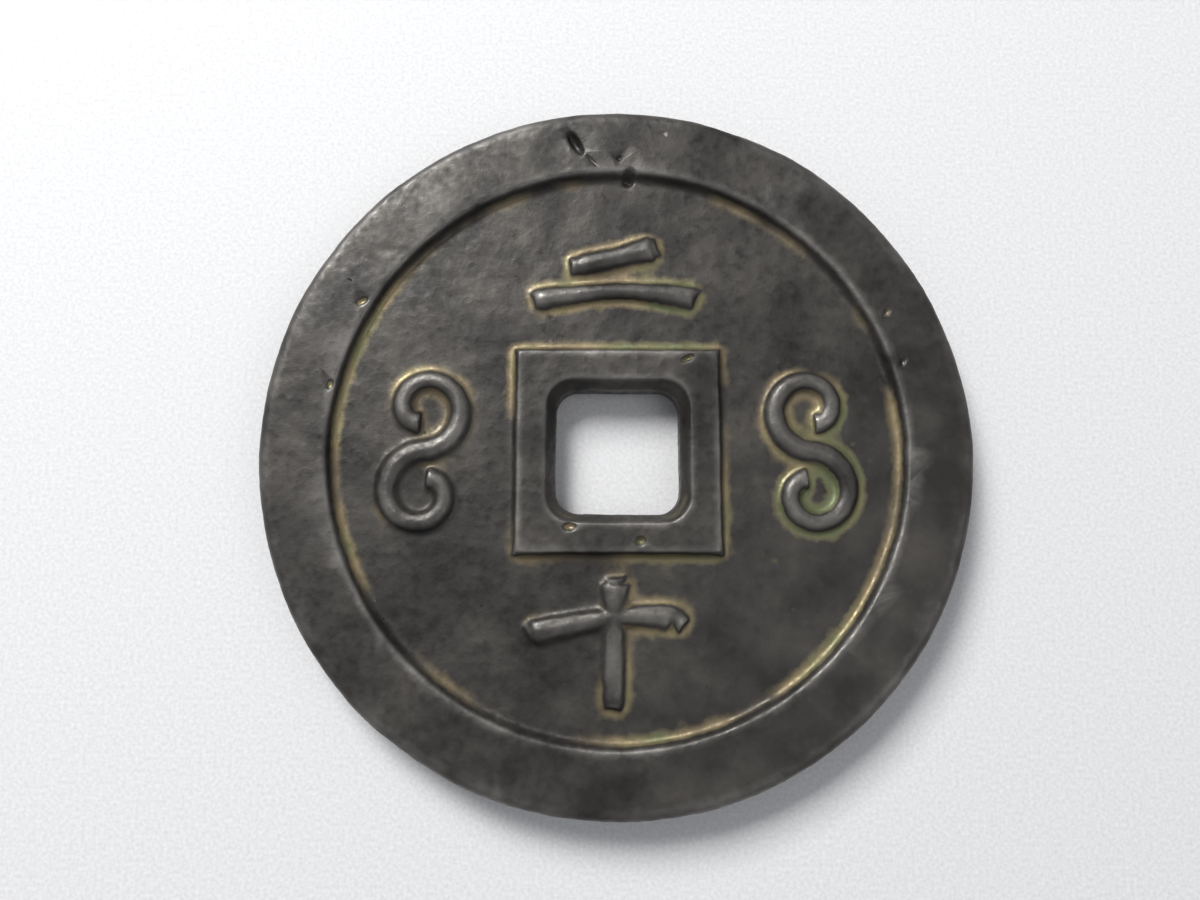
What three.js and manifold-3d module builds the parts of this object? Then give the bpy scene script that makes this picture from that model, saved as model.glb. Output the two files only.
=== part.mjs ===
// A large cast bronze cash coin: a disc with a broad raised rim, a square hole framed by a raised
// collar, and sunk fields that carry raised scrolls. It is cast in one pour, so it is one solid.
// Millimetres, +Z up. The coin lies flat: its centre line is the Z axis and its lower rim is at Z = 0.

import * as THREE from "three";
import Module from "manifold-3d";
import { mergeVertices } from "three/addons/utils/BufferGeometryUtils.js";

const wasm = await Module();
wasm.setup();

// Blank and rim
const coinDiameter = 46;
const coinThickness = 3.4;
const webThickness = 1.9; // metal left between the two sunk fields
const rimWidth = 4.3; // across the flat ring, from the coin's edge to the lip of its inner wall
const rimWallLean = 0.42; // the mould's draft: how far that wall leans out over the field
const rimLipRound = 0.16;
const fieldCornerRound = 0.22;
const edgeRound = 0.75; // filed edge, between the rim's flat and the coin's side

// Collar and hole
const holeWidth = 8.1; // across the flats of the filed land, half way through the coin
const holeCornerRound = 1.5;
const holeLandHeight = 1.2;
const holeFlare = 0.5; // how far each wall leans back between the land and the collar's top
const holeLipRound = 0.22;
const collarWidth = 1.7; // across the collar's top, from the hole's lip to its outer edge
const collarHeight = 0.68; // above the field
const collarCornerRound = 0.35;
const collarDraft = 0.28; // how far the collar's outer wall leans

// Scrolls: a ridge that winds into a spiral at each end
const scrollRadius = 2.75; // of a spiral's widest turn, along the middle of the ridge
const scrollPitch = 1.85; // how much closer to its centre the ridge comes in one turn
const scrollTurns = 0.95;
const ridgeWidth = 1.36; // where the ridge meets the field
const ridgeSwell = 0.34; // how much wider it is half way along the scroll
const budWidth = 1.5; // at the knob that ends each spiral
const ridgeHeight = 0.55; // above the field

// Fineness of the facets
const discSides = 80;
const roundSteps = 2;
const cornerSteps = 3;
const ridgeSides = 8;
const spiralSteps = 16;
const knobSteps = 2;

// Where the features lie, from the sizes above
const coinRadius = coinDiameter / 2;
const midHeight = coinThickness / 2;
const fieldDepth = (coinThickness - webThickness) / 2;
const rimLipRadius = coinRadius - rimWidth;
const fieldRadius = rimLipRadius - rimWallLean;
const holeMouth = holeWidth / 2 + holeFlare + holeLipRound;
const collarHalf = holeMouth + collarWidth + collarDraft;
const collarTop = webThickness / 2 + collarHeight; // above the coin's middle plane
const scrollOffset = (collarHalf + fieldRadius) / 2; // midway between collar and rim

const turn = 2 * Math.PI;

// A closed mesh as a solid.
function solidFrom(geometry) {
  const bare = geometry.clone();
  bare.deleteAttribute("normal");
  bare.deleteAttribute("uv");
  const merged = mergeVertices(bare, 1e-4);
  return new wasm.Manifold(
    new wasm.Mesh({
      numProp: 3,
      vertProperties: new Float32Array(merged.attributes.position.array),
      triVerts: new Uint32Array(merged.index.array),
    }),
  );
}

// A solid as a three.js geometry with flat facets.
function geometryFrom(solid) {
  const mesh = solid.getMesh();
  const geometry = new THREE.BufferGeometry();
  geometry.setAttribute("position", new THREE.BufferAttribute(mesh.vertProperties, 3));
  geometry.setIndex(new THREE.BufferAttribute(mesh.triVerts, 1));
  const faceted = geometry.toNonIndexed();
  faceted.computeVertexNormals();
  return faceted;
}

// A closed skin over rings of points that all have the same number of points, with a fan on each end.
function skinOver(rings) {
  const sides = rings[0].length;
  const points = rings.flat();
  const faces = [];
  for (let ring = 0; ring + 1 < rings.length; ring++) {
    for (let side = 0; side < sides; side++) {
      const here = ring * sides + side;
      const next = ring * sides + ((side + 1) % sides);
      faces.push(here, next, next + sides, here, next + sides, here + sides);
    }
  }
  const first = points.length;
  points.push(middleOf(rings[0]), middleOf(rings[rings.length - 1]));
  const lastRing = (rings.length - 1) * sides;
  for (let side = 0; side < sides; side++) {
    const next = (side + 1) % sides;
    faces.push(first, next, side);
    faces.push(first + 1, lastRing + side, lastRing + next);
  }
  const geometry = new THREE.BufferGeometry().setFromPoints(points);
  geometry.setIndex(faces);
  return geometry;
}

function middleOf(ring) {
  const sum = ring.reduce((total, point) => total.add(point), new THREE.Vector3());
  return sum.divideScalar(ring.length);
}

// A square with round corners, its side twice `half`, centred on the origin.
function roundedSquare(half, round) {
  const inner = half - round;
  const square = new THREE.Shape();
  square.moveTo(half, -inner);
  square.absarc(inner, inner, round, 0, turn / 4);
  square.absarc(-inner, inner, round, turn / 4, turn / 2);
  square.absarc(-inner, -inner, round, turn / 2, (3 * turn) / 4);
  square.absarc(inner, -inner, round, (3 * turn) / 4, turn);
  return square;
}

// The disc with its two rims and sunk fields, revolved from half a cross-section. Its middle is left
// open, because the collar block fills it.
function blank() {
  const face = midHeight;
  const field = midHeight - fieldDepth;
  const lean = Math.atan2(rimWallLean, fieldDepth);
  const lipTurn = turn / 4 - lean; // angle between the field and the wall, less the draft
  const lipInset = rimLipRound * Math.tan(lipTurn / 2);
  const footInset = fieldCornerRound * Math.tan(lipTurn / 2);
  const section = new THREE.Path();
  section.moveTo(holeWidth / 2, -field);
  section.absarc(fieldRadius - footInset, -field - fieldCornerRound, fieldCornerRound, turn / 4, lean, true);
  section.absarc(rimLipRadius + lipInset, -face + rimLipRound, rimLipRound, lean + turn / 2, (3 * turn) / 4);
  section.absarc(coinRadius - edgeRound, -face + edgeRound, edgeRound, (3 * turn) / 4, turn);
  section.absarc(coinRadius - edgeRound, face - edgeRound, edgeRound, 0, turn / 4);
  section.absarc(rimLipRadius + lipInset, face - rimLipRound, rimLipRound, turn / 4, turn / 2 - lean);
  section.absarc(fieldRadius - footInset, field + fieldCornerRound, fieldCornerRound, -lean, -turn / 4, true);
  section.lineTo(holeWidth / 2, field);
  section.closePath();
  const disc = new THREE.LatheGeometry(section.getPoints(roundSteps), discSides);
  disc.rotateX(turn / 4);
  return solidFrom(disc);
}

// The square block whose two ends are the collars, with drafted walls and rounded top edges.
function collarBlock() {
  const block = new THREE.ExtrudeGeometry(roundedSquare(collarHalf, collarCornerRound), {
    depth: 2 * (collarTop - collarHeight),
    bevelThickness: collarHeight,
    bevelSize: collarDraft,
    bevelOffset: -collarDraft,
    bevelSegments: roundSteps,
    curveSegments: cornerSteps,
  });
  block.translate(0, 0, -(collarTop - collarHeight));
  return solidFrom(block);
}

// The tapered square hole: a straight land in the middle, a flare and a rounded lip at each mouth.
function holeCutter() {
  const landEnd = holeLandHeight / 2;
  const lipStart = collarTop - holeLipRound;
  const levels = [
    [landEnd, 0],
    [lipStart, holeFlare],
  ];
  for (let step = 1; step <= roundSteps; step++) {
    const angle = (step / roundSteps) * (turn / 4);
    levels.push([
      lipStart + holeLipRound * Math.sin(angle),
      holeFlare + holeLipRound * (1 - Math.cos(angle)),
    ]);
  }
  levels.push([coinThickness, holeFlare + holeLipRound]);
  const bothWays = [...levels.map(([height, flare]) => [-height, flare]).reverse(), ...levels];
  const rings = bothWays.map(([height, flare]) =>
    roundedSquare(holeWidth / 2 + flare, holeCornerRound + flare / 2)
      .getPoints(cornerSteps)
      .slice(0, -1)
      .map((point) => new THREE.Vector3(point.x, point.y, height)),
  );
  return solidFrom(skinOver(rings));
}

// The middle line of a scroll and the ridge's width along it: two spirals that meet at the origin,
// each the other turned half round. `hand` is 1, or -1 for the mirror image.
function scrollLine(hand) {
  const spiral = [];
  for (let step = 0; step <= spiralSteps; step++) {
    const share = step / spiralSteps;
    const angle = share * scrollTurns * turn;
    const radius = scrollRadius - (scrollPitch * angle) / turn;
    const swell = ridgeSwell * Math.cos((Math.min(share * 2, 1) * turn) / 4) ** 2;
    const bud = (budWidth - ridgeWidth) * Math.max(0, 4 * share - 3);
    spiral.push({
      x: hand * radius * Math.sin(angle),
      y: scrollRadius - radius * Math.cos(angle),
      width: ridgeWidth + swell + bud,
    });
  }
  const turned = spiral.slice(1).map(({ x, y, width }) => ({ x: -x, y: -y, width }));
  return [...turned.reverse(), ...spiral];
}

// A ridge of round section along a scroll, sunk so that it stands ridgeHeight above the field.
function scroll(hand) {
  const line = scrollLine(hand);
  const last = line.length - 1;
  const rings = [];
  const addRing = (centre, across, width, shrink, shift, along) => {
    // A circle through the two feet and the crest of the ridge.
    const radius = (width * width) / (8 * ridgeHeight) + ridgeHeight / 2;
    const ring = [];
    for (let side = 0; side < ridgeSides; side++) {
      const angle = ((side + 0.5) / ridgeSides) * turn;
      const reach = radius * shrink * Math.cos(angle);
      ring.push(
        new THREE.Vector3(
          centre.x + across.x * reach + along.x * radius * shift,
          centre.y + across.y * reach + along.y * radius * shift,
          ridgeHeight - radius + radius * shrink * Math.sin(angle),
        ),
      );
    }
    rings.push(ring);
  };
  const knob = (at, across, along, fromTip) => {
    for (let step = 0; step < knobSteps; step++) {
      const share = fromTip ? knobSteps - step : step + 1;
      const angle = ((share - 0.35) / knobSteps) * (turn / 4);
      addRing(at, across, at.width, Math.cos(angle), Math.sin(angle), along);
    }
  };
  const directionAt = (index) => {
    const before = line[Math.max(index - 1, 0)];
    const after = line[Math.min(index + 1, last)];
    return new THREE.Vector2(after.x - before.x, after.y - before.y).normalize();
  };
  const sideOf = (direction) => new THREE.Vector2(-direction.y, direction.x);
  const start = directionAt(0);
  const end = directionAt(last);
  knob(line[0], sideOf(start), start.clone().negate(), true);
  line.forEach((point, index) => {
    const direction = directionAt(index);
    addRing(point, sideOf(direction), point.width, 1, 0, direction);
  });
  knob(line[last], sideOf(end), end, false);
  return solidFrom(skinOver(rings));
}

// Scrolls stand upright beside the hole on the upper face, as a facing pair. The lower face has one on
// each side of the hole.
function upperScrolls() {
  const field = webThickness / 2;
  const left = scroll(1).translate([-scrollOffset, 0, field]);
  const right = scroll(-1).translate([scrollOffset, 0, field]);
  return left.add(right);
}

function lowerScrolls() {
  const field = webThickness / 2;
  const quarterTurns = [0, 1, 2, 3];
  return quarterTurns
    .map((quarter) =>
      scroll(1)
        .translate([scrollOffset, 0, field])
        .rotate([0, 0, quarter * 90]),
    )
    .reduce((all, one) => all.add(one))
    .rotate([180, 0, 0]);
}

const casting = blank()
  .add(collarBlock())
  .subtract(holeCutter())
  .add(upperScrolls())
  .add(lowerScrolls())
  .translate([0, 0, midHeight]);

const darkBronze = new THREE.MeshStandardMaterial({
  color: new THREE.Color(0.115, 0.108, 0.095),
  roughness: 0.45,
  metalness: 0.75,
});

const coinBody = new THREE.Mesh(geometryFrom(casting), darkBronze);
coinBody.name = "coin_body";

const coin = new THREE.Group();
coin.name = "cash_coin";
coin.add(coinBody);

export default coin;
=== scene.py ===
import math

import bpy
import numpy as np
from mathutils import Matrix, Vector


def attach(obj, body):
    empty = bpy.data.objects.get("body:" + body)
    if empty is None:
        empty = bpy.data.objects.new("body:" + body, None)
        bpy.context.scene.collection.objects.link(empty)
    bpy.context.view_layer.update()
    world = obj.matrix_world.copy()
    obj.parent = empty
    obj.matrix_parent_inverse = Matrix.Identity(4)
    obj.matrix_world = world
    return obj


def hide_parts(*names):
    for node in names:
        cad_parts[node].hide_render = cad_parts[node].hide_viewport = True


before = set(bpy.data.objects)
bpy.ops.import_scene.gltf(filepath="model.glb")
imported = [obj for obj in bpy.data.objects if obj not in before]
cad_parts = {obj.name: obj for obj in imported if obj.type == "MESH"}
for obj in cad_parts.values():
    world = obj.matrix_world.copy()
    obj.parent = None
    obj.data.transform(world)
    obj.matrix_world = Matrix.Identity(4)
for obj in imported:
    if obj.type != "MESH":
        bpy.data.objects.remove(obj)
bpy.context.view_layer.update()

MM = 0.001

# The coin's sizes, in millimetres
COIN_RADIUS = 23.0
COIN_THICKNESS = 3.4
WEB_THICKNESS = 1.9
RIM_WIDTH = 4.3
RIM_WALL_LEAN = 0.42
EDGE_ROUND = 0.75
HOLE_WIDTH = 8.1
HOLE_CORNER_ROUND = 1.5
HOLE_LAND_HEIGHT = 1.2
HOLE_FLARE = 0.62
COLLAR_HALF = 6.75
COLLAR_HEIGHT = 0.68
COLLAR_DRAFT = 0.28
SCROLL_RADIUS = 2.75
SCROLL_PITCH = 1.85
SCROLL_TURNS = 0.95
SCROLL_OFFSET = 12.5
RIDGE_WIDTH = 1.36
RIDGE_SWELL = 0.34
BUD_WIDTH = 1.5
RIDGE_HEIGHT = 0.55

FIELD_DEPTH = (COIN_THICKNESS - WEB_THICKNESS) / 2
MIDDLE = COIN_THICKNESS / 2
UPPER_FIELD = MIDDLE + WEB_THICKNESS / 2

# Fineness of the mesh
DISC_SIDES = 256
ROUND_SEGMENTS = 8
STROKE_STEPS = 10
SPIRAL_STEPS = 40
VOXEL = 0.11
MOST_TRIANGLES = 190_000

# Hand-cast unevenness: the size and the height of a slow swell, then of the mould's grain
SWELL = (5.0, 0.16)
MOULD_GRAIN = (0.9, 0.06)

# A hollow is full strength where a point lies this far below its eased neighbourhood
FULL_HOLLOW = 0.12
EASING_ROUNDS = 24

# Colours of the metal and of what lies on it
DEEP_BRONZE = (0.022, 0.020, 0.018)
PALE_BRONZE = (0.060, 0.055, 0.048)
WORN_BRONZE = (0.20, 0.19, 0.175)
OCHRE_EARTH = (0.20, 0.155, 0.085)
GREEN_EARTH = (0.10, 0.115, 0.055)
GROUND_DARK = (0.52, 0.52, 0.52)
GROUND_PALE = (0.68, 0.68, 0.675)

# Scales of the patterns, in turns to the metre
PATCH_SCALE = 110
CLOUD_SCALE = 260
GRAIN_SCALE = 1700
SPECKLE_SCALE = 4200

# The camera, from the fit to the coin's outline, inner rim and collar
AIM = (-1.17, -0.03, 3.4)
CAMERA_DISTANCE = 60.1
CAMERA_TILT = math.radians(7.63)
CAMERA_PAN = math.radians(-6.8)
LENS = 28.26
SENSOR_WIDTH = 36
NEAR_CLIP = 0.001


def deselect():
    bpy.ops.object.select_all(action="DESELECT")


def activate(piece):
    deselect()
    piece.select_set(True)
    bpy.context.view_layer.objects.active = piece


def pick_faces(piece, test):
    """Select only the faces that pass the test, and stay in edit mode."""
    bpy.ops.object.mode_set(mode="OBJECT")
    mesh = piece.data
    mesh.vertices.foreach_set("select", [False] * len(mesh.vertices))
    mesh.edges.foreach_set("select", [False] * len(mesh.edges))
    mesh.polygons.foreach_set("select", [bool(test(face)) for face in mesh.polygons])
    bpy.ops.object.mode_set(mode="EDIT")
    bpy.ops.mesh.select_mode(type="FACE")


def pick_edges(piece, test):
    """The same for edges, which are tested by the places of their two ends."""
    bpy.ops.object.mode_set(mode="OBJECT")
    mesh = piece.data
    mesh.vertices.foreach_set("select", [False] * len(mesh.vertices))
    mesh.polygons.foreach_set("select", [False] * len(mesh.polygons))
    chosen = []
    for edge in mesh.edges:
        ends = [mesh.vertices[index].co for index in edge.vertices]
        chosen.append(bool(test(*ends)))
    mesh.edges.foreach_set("select", chosen)
    bpy.ops.object.mode_set(mode="EDIT")
    bpy.ops.mesh.select_mode(type="EDGE")


def place_mesh(piece):
    activate(piece)
    bpy.ops.object.transform_apply(location=True, rotation=True, scale=True)


def apply_modifier(piece, kind, **settings):
    activate(piece)
    modifier = piece.modifiers.new(kind.title(), kind)
    for name, value in settings.items():
        setattr(modifier, name, value)
    bpy.ops.object.modifier_apply(modifier=modifier.name)


def face_outward(piece):
    activate(piece)
    bpy.ops.object.mode_set(mode="EDIT")
    bpy.ops.mesh.select_all(action="SELECT")
    bpy.ops.mesh.normals_make_consistent(inside=False)
    bpy.ops.object.mode_set(mode="OBJECT")


def join_into(piece, others):
    deselect()
    for other in others:
        other.select_set(True)
    piece.select_set(True)
    bpy.context.view_layer.objects.active = piece
    bpy.ops.object.join()


def rim_blank():
    """A thick disc, its two fields sunk by insets and its outer edges filed round."""
    bpy.ops.mesh.primitive_cylinder_add(
        vertices=DISC_SIDES,
        radius=COIN_RADIUS * MM,
        depth=COIN_THICKNESS * MM,
        location=(0, 0, MIDDLE * MM),
    )
    piece = bpy.context.object
    piece.name = "cast_coin"
    place_mesh(piece)
    bpy.ops.object.mode_set(mode="EDIT")
    pick_edges(piece, lambda a, b: abs(a.z - b.z) < 1e-6)
    bpy.ops.mesh.bevel(offset=EDGE_ROUND * MM, segments=ROUND_SEGMENTS, affect="EDGES")
    for up in (1, -1):
        pick_faces(piece, lambda face: face.normal.z * up > 0.99 and len(face.vertices) > 100)
        bpy.ops.mesh.inset(thickness=(RIM_WIDTH - EDGE_ROUND) * MM, depth=0)
        bpy.ops.mesh.inset(thickness=RIM_WALL_LEAN * MM, depth=-FIELD_DEPTH * MM)
    bpy.ops.object.mode_set(mode="OBJECT")
    return piece


def collar():
    """A square block through the web, each end drawn in as it rises to the collar's top."""
    bpy.ops.mesh.primitive_cube_add(
        size=1,
        location=(0, 0, MIDDLE * MM),
        scale=(2 * COLLAR_HALF * MM, 2 * COLLAR_HALF * MM, WEB_THICKNESS * MM),
    )
    piece = bpy.context.object
    place_mesh(piece)
    bpy.ops.object.mode_set(mode="EDIT")
    for up in (1, -1):
        pick_faces(piece, lambda face: face.normal.z * up > 0.99)
        bpy.ops.mesh.inset(thickness=COLLAR_DRAFT * MM, depth=COLLAR_HEIGHT * MM)
    bpy.ops.object.mode_set(mode="OBJECT")
    return piece


def hole_cutter():
    """A rounded square bar: a straight land, and a flare towards each mouth."""
    bpy.ops.mesh.primitive_cube_add(
        size=1,
        location=(0, 0, MIDDLE * MM),
        scale=(HOLE_WIDTH * MM, HOLE_WIDTH * MM, HOLE_LAND_HEIGHT * MM),
    )
    piece = bpy.context.object
    place_mesh(piece)
    bpy.ops.object.mode_set(mode="EDIT")
    pick_edges(piece, lambda a, b: abs(a.z - b.z) > 0.1 * MM)
    bpy.ops.mesh.bevel(offset=HOLE_CORNER_ROUND * MM, segments=ROUND_SEGMENTS, affect="EDGES")
    rise = WEB_THICKNESS / 2 + COLLAR_HEIGHT - HOLE_LAND_HEIGHT / 2
    flared = 1 + 2 * HOLE_FLARE / HOLE_WIDTH
    for up in (1, -1):
        pick_faces(piece, lambda face: face.normal.z * up > 0.99)
        top = (MIDDLE + up * (HOLE_LAND_HEIGHT / 2 + rise)) * MM
        bpy.ops.mesh.extrude_region_move(TRANSFORM_OT_translate={"value": (0, 0, up * rise * MM)})
        bpy.ops.transform.resize(value=(flared, flared, 1), center_override=(0, 0, top))
        bpy.ops.mesh.extrude_region_move(TRANSFORM_OT_translate={"value": (0, 0, up * MM)})
    bpy.ops.object.mode_set(mode="OBJECT")
    return piece


def ridge(points):
    """A round-sectioned ridge through (x, y, width) points, sunk to stand above the upper field."""
    curve = bpy.data.curves.new("ridge", "CURVE")
    curve.dimensions = "3D"
    curve.bevel_depth = MM
    curve.bevel_resolution = 4
    curve.use_fill_caps = True
    spline = curve.splines.new("POLY")
    spline.points.add(len(points) - 1)
    for point, (x, y, width) in zip(spline.points, points):
        radius = width * width / (8 * RIDGE_HEIGHT) + RIDGE_HEIGHT / 2
        point.co = (x * MM, y * MM, (UPPER_FIELD + RIDGE_HEIGHT - radius) * MM, 1)
        point.radius = radius
    piece = bpy.data.objects.new("ridge", curve)
    bpy.context.collection.objects.link(piece)
    activate(piece)
    bpy.ops.object.convert(target="MESH")
    return bpy.context.object


def smooth_stroke(corners):
    """A stroke through a few listed (x, y, width) corners, rounded off between them."""
    corners = np.array(corners, dtype=float)
    line = []
    for index in range(len(corners) - 1):
        before = corners[max(index - 1, 0)]
        start = corners[index]
        end = corners[index + 1]
        after = corners[min(index + 2, len(corners) - 1)]
        for step in range(STROKE_STEPS):
            t = step / STROKE_STEPS
            bent = (
                2 * start
                + (end - before) * t
                + (2 * before - 5 * start + 4 * end - after) * t**2
                + (3 * start - before - 3 * end + after) * t**3
            )
            line.append(tuple(bent / 2))
    line.append(tuple(corners[-1]))
    return line


def scroll_line(hand):
    """Two spirals that meet in the middle, each the other turned half round."""
    spiral = []
    for step in range(SPIRAL_STEPS + 1):
        share = step / SPIRAL_STEPS
        angle = share * SCROLL_TURNS * math.tau
        radius = SCROLL_RADIUS - SCROLL_PITCH * angle / math.tau
        swell = RIDGE_SWELL * math.cos(min(share * 2, 1) * math.pi / 2) ** 2
        bud = (BUD_WIDTH - RIDGE_WIDTH) * max(0, 4 * share - 3)
        across = hand * radius * math.sin(angle)
        along = SCROLL_RADIUS - radius * math.cos(angle)
        spiral.append((across, along, RIDGE_WIDTH + swell + bud))
    turned = [(-across, -along, width) for across, along, width in spiral[1:]]
    return turned[::-1] + spiral


def scroll(hand, x):
    return ridge([(x + across, along, width) for across, along, width in scroll_line(hand)])


def number_bars():
    upper = [(-3.2, 12.3, 1.2), (-2.3, 12.4, 1.7), (0, 12.9, 1.6), (2.2, 13.5, 1.9), (2.8, 13.7, 1.5)]
    lower = [(-5.6, 9.9, 1.2), (-4.8, 10.1, 1.6), (0, 10.6, 1.2), (4.6, 10.2, 1.7), (5.3, 10.0, 1.3)]
    return [ridge(smooth_stroke(upper)), ridge(smooth_stroke(lower))]


def number_cross():
    stem = [(-0.2, -7.8, 1.6), (-0.2, -8.5, 2.1), (-0.3, -11, 1.7), (-0.3, -15.4, 1.6), (-0.4, -16.3, 1.1)]
    arms = [
        (-5.9, -11.8, 1.4),
        (-5.1, -11.5, 1.9),
        (-0.3, -10.6, 1.4),
        (3.2, -10.6, 1.9),
        (4.2, -11.2, 1.1),
    ]
    return [ridge(smooth_stroke(stem)), ridge(smooth_stroke(arms))]


def lower_scrolls():
    """Four scrolls for the hidden face, one on each side of the hole."""
    marks = []
    for quarter in range(4):
        mark = scroll(1, SCROLL_OFFSET)
        mark.rotation_euler = (0, 0, quarter * math.pi / 2)
        place_mesh(mark)
        mark.location = (0, 0, COIN_THICKNESS * MM)
        mark.rotation_euler = (math.pi, 0, 0)
        place_mesh(mark)
        marks.append(mark)
    return marks


def cast_coin():
    """The whole casting: joined, run together by a fine remesh, and then pierced."""
    piece = rim_blank()
    marks = [scroll(1, -SCROLL_OFFSET), scroll(-1, SCROLL_OFFSET)]
    marks += number_bars() + number_cross() + lower_scrolls()
    join_into(piece, [collar()] + marks)
    apply_modifier(piece, "REMESH", mode="VOXEL", voxel_size=VOXEL * MM)
    face_outward(piece)
    cutter = hole_cutter()
    face_outward(cutter)
    apply_modifier(piece, "BOOLEAN", operation="DIFFERENCE", object=cutter, solver="EXACT")
    bpy.data.objects.remove(cutter, do_unlink=True)
    apply_modifier(piece, "REMESH", mode="VOXEL", voxel_size=VOXEL * MM)
    apply_modifier(piece, "SMOOTH", factor=0.5, iterations=5)
    face_outward(piece)
    return piece


def roughen(piece):
    for scale, strength in (SWELL, MOULD_GRAIN):
        cloud = bpy.data.textures.new("sand_mould", "CLOUDS")
        cloud.noise_scale = scale * MM
        cloud.noise_depth = 2
        apply_modifier(
            piece,
            "DISPLACE",
            texture=cloud,
            strength=strength * MM,
            mid_level=0.5,
            texture_coords="LOCAL",
        )


# Dents on the upper face: x, y, half-length, half-width, depth, turn in degrees
DENTS = (
    (-2.8, 20.6, 1.0, 0.4, 0.55, -60),
    (-1.7, 19.4, 0.8, 0.12, 0.15, -45),
    (0.1, 19.6, 0.25, 0.25, 0.3, 0),
    (0.75, 18.4, 0.65, 0.5, 0.35, 70),
    (-16.6, 9.7, 0.5, 0.25, 0.2, 30),
    (-18.5, 4.2, 0.4, 0.25, 0.2, 80),
    (17.6, 9.1, 0.4, 0.2, 0.2, 60),
    (18.5, 5.8, 0.4, 0.2, 0.2, 75),
    (4.5, 6.0, 0.5, 0.2, 0.3, 20),
    (-3.1, -4.9, 0.5, 0.3, 0.25, 0),
    (1.4, -5.8, 0.35, 0.3, 0.3, 0),
)


def dent(piece):
    """Press each dent into the upper face, then rub both faces flat."""
    mesh = piece.data
    places = np.empty(len(mesh.vertices) * 3)
    mesh.vertices.foreach_get("co", places)
    places = places.reshape(-1, 3)
    upper = places[:, 2] > MIDDLE * MM
    for x, y, length, width, depth, degrees in DENTS:
        turn = math.radians(degrees)
        across = places[:, 0] / MM - x
        along = places[:, 1] / MM - y
        run = (across * math.cos(turn) + along * math.sin(turn)) / length
        side = (along * math.cos(turn) - across * math.sin(turn)) / width
        fall = np.clip(1 - run**2 - side**2, 0, 1)
        places[:, 2] -= np.where(upper, fall * depth * MM, 0)
    places[:, 2] = np.clip(places[:, 2], 0, COIN_THICKNESS * MM)
    mesh.vertices.foreach_set("co", places.ravel())
    mesh.update()


def mark_hollows(piece):
    """Store how far each point lies below its neighbourhood, for the earth and for the worn edges."""
    mesh = piece.data
    count = len(mesh.vertices)
    places = np.empty(count * 3)
    normals = np.empty(count * 3)
    ends = np.empty(len(mesh.edges) * 2, dtype=np.int64)
    mesh.vertices.foreach_get("co", places)
    mesh.vertex_normals.foreach_get("vector", normals)
    mesh.edges.foreach_get("vertices", ends)
    places = places.reshape(-1, 3)
    normals = normals.reshape(-1, 3)
    first, second = ends.reshape(-1, 2).T
    links = np.bincount(first, minlength=count) + np.bincount(second, minlength=count)
    eased = places.copy()
    for _ in range(EASING_ROUNDS):
        total = np.empty_like(eased)
        for axis in range(3):
            total[:, axis] = np.bincount(first, weights=eased[second, axis], minlength=count)
            total[:, axis] += np.bincount(second, weights=eased[first, axis], minlength=count)
        eased = total / np.maximum(links, 1)[:, None]
    hollow = ((eased - places) * normals).sum(axis=1) / (FULL_HOLLOW * MM)
    layer = mesh.attributes.new("hollow", "FLOAT", "POINT")
    layer.data.foreach_set("value", np.clip(hollow, -1, 1))


def lighten(piece):
    """Thin the mesh to no more than MOST_TRIANGLES triangles. The stored hollows stay on it."""
    triangles = sum(len(face.vertices) - 2 for face in piece.data.polygons)
    apply_modifier(piece, "DECIMATE", ratio=min(1, MOST_TRIANGLES / triangles))


def noise(tree, coordinates, scale, detail=4.0):
    node = tree.nodes.new("ShaderNodeTexNoise")
    node.inputs["Scale"].default_value = scale
    node.inputs["Detail"].default_value = detail
    tree.links.new(coordinates, node.inputs["Vector"])
    return node.outputs["Fac"]


def ramp(tree, source, low, high):
    """The source spread from 0 at low to 1 at high."""
    node = tree.nodes.new("ShaderNodeMapRange")
    node.inputs["From Min"].default_value = low
    node.inputs["From Max"].default_value = high
    tree.links.new(source, node.inputs["Value"])
    return node.outputs["Result"]


def product(tree, first, second):
    node = tree.nodes.new("ShaderNodeMath")
    node.operation = "MULTIPLY"
    tree.links.new(first, node.inputs[0])
    tree.links.new(second, node.inputs[1])
    return node.outputs["Value"]


def colour_mix_inputs(node):
    """The factor and the two colour sockets of a Mix node in colour mode."""
    sockets = [socket for socket in node.inputs if socket.enabled]
    return sockets[0], sockets[1], sockets[2]


def blend_over(tree, mask, under, over):
    """One colour laid over another where the mask is 1. Either may be fixed or come from a node."""
    node = tree.nodes.new("ShaderNodeMix")
    node.data_type = "RGBA"
    factor, base, top = colour_mix_inputs(node)
    tree.links.new(mask, factor)
    for colour, socket in ((under, base), (over, top)):
        if isinstance(colour, tuple):
            socket.default_value = (*colour, 1)
        else:
            tree.links.new(colour, socket)
    return [socket for socket in node.outputs if socket.enabled][0]


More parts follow.
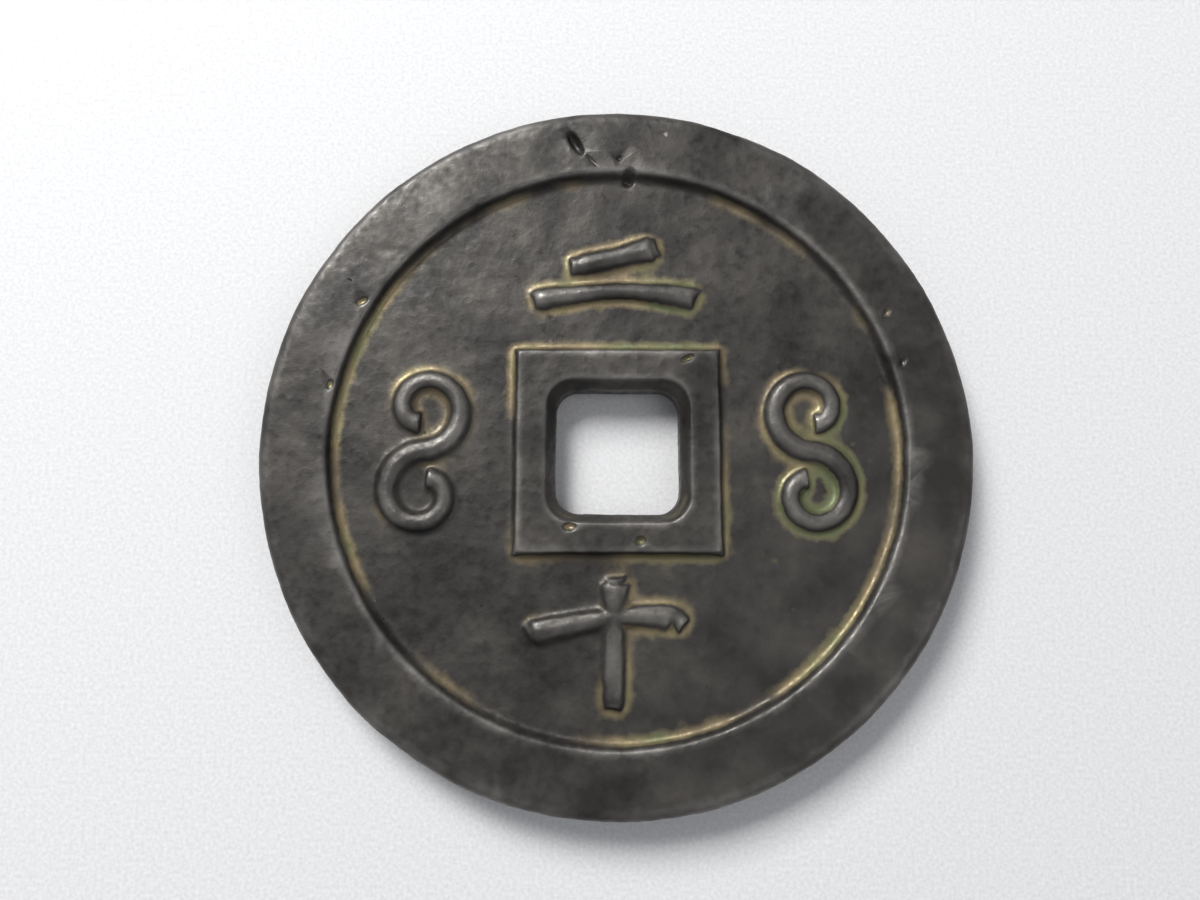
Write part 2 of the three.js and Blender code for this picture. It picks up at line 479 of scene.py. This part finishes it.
def patinated_bronze():
    material = bpy.data.materials.new("patinated_bronze")
    material.use_nodes = True
    tree = material.node_tree
    shader = tree.nodes["Principled BSDF"]
    place = tree.nodes.new("ShaderNodeTexCoord").outputs["Object"]
    hollow_node = tree.nodes.new("ShaderNodeAttribute")
    hollow_node.attribute_name = "hollow"
    hollow = hollow_node.outputs["Fac"]

    cloud = noise(tree, place, CLOUD_SCALE)
    grain = noise(tree, place, GRAIN_SCALE, 6.0)
    patch = noise(tree, place, PATCH_SCALE, 3.0)

    bronze = blend_over(tree, ramp(tree, cloud, 0.35, 0.7), DEEP_BRONZE, PALE_BRONZE)
    sunk = ramp(tree, hollow, 0.1, 0.5)
    ochre_here = product(tree, sunk, ramp(tree, patch, 0.44, 0.58))
    earthy = blend_over(tree, ochre_here, bronze, OCHRE_EARTH)
    green_here = product(tree, sunk, ramp(tree, patch, 0.56, 0.68))
    greened = blend_over(tree, green_here, earthy, GREEN_EARTH)
    raised = ramp(tree, hollow, -0.15, -0.9)
    worn = product(tree, raised, ramp(tree, cloud, 0.3, 0.75))
    finished = blend_over(tree, worn, greened, WORN_BRONZE)
    tree.links.new(finished, shader.inputs["Base Color"])

    shader.inputs["Metallic"].default_value = 0.55
    tree.links.new(ramp(tree, grain, 1.1, -0.15), shader.inputs["Roughness"])

    bump = tree.nodes.new("ShaderNodeBump")
    bump.inputs["Strength"].default_value = 0.35
    bump.inputs["Distance"].default_value = 0.08 * MM
    tree.links.new(grain, bump.inputs["Height"])
    tree.links.new(bump.outputs["Normal"], shader.inputs["Normal"])
    return material


def pale_stone():
    material = bpy.data.materials.new("pale_ground")
    material.use_nodes = True
    tree = material.node_tree
    shader = tree.nodes["Principled BSDF"]
    place = tree.nodes.new("ShaderNodeTexCoord").outputs["Object"]
    speckle = ramp(tree, noise(tree, place, SPECKLE_SCALE, 8.0), 0.2, 0.8)
    stone = blend_over(tree, speckle, GROUND_DARK, GROUND_PALE)
    tree.links.new(stone, shader.inputs["Base Color"])
    shader.inputs["Roughness"].default_value = 0.8
    return material


def ground():
    bpy.ops.mesh.primitive_plane_add(size=1.2)
    floor = bpy.context.object
    floor.name = "ground"
    floor.data.materials.append(pale_stone())


def soft_light(name, place, size, power):
    light = bpy.data.lights.new(name, "AREA")
    light.size = size
    light.energy = power
    lamp = bpy.data.objects.new(name, light)
    lamp.location = place
    bpy.context.collection.objects.link(lamp)
    aim_at_coin = -lamp.location
    lamp.rotation_euler = aim_at_coin.to_track_quat("-Z", "Y").to_euler()


def studio():
    soft_light("window", (-0.15, 0.24, 0.28), 0.16, 2.3)
    soft_light("fill", (0.25, -0.1, 0.4), 0.3, 0.35)
    world = bpy.data.worlds.new("room")
    world.use_nodes = True
    sky = world.node_tree.nodes["Background"]
    sky.inputs["Color"].default_value = (0.9, 0.92, 1.0, 1)
    sky.inputs["Strength"].default_value = 0.36
    bpy.context.scene.world = world
    bpy.context.scene.view_settings.view_transform = "Standard"


def camera_turn(back):
    """The turn that looks against `back` and keeps +Y upright in the picture."""
    up = (Vector((0, 1, 0)) - back * back.y).normalized()
    right = up.cross(back)
    return Matrix((right, up, back)).transposed().to_euler()


def camera():
    lens = bpy.data.cameras.new("camera")
    lens.lens = LENS
    lens.sensor_width = SENSOR_WIDTH
    lens.clip_start = NEAR_CLIP
    viewer = bpy.data.objects.new("camera", lens)
    height = math.pi / 2 - CAMERA_TILT
    back = (
        math.sin(CAMERA_PAN) * math.cos(height),
        -math.cos(CAMERA_PAN) * math.cos(height),
        math.sin(height),
    )
    viewer.location = [(AIM[axis] + back[axis] * CAMERA_DISTANCE) * MM for axis in range(3)]
    viewer.rotation_euler = camera_turn(Vector(back))
    bpy.context.collection.objects.link(viewer)
    bpy.context.scene.camera = viewer


coin = cast_coin()
roughen(coin)
dent(coin)
mark_hollows(coin)
lighten(coin)
activate(coin)
bpy.ops.object.shade_smooth()
coin.data.materials.clear()
coin.data.materials.append(patinated_bronze())
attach(coin, "root")
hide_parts("coin_body")

ground()
studio()
camera()
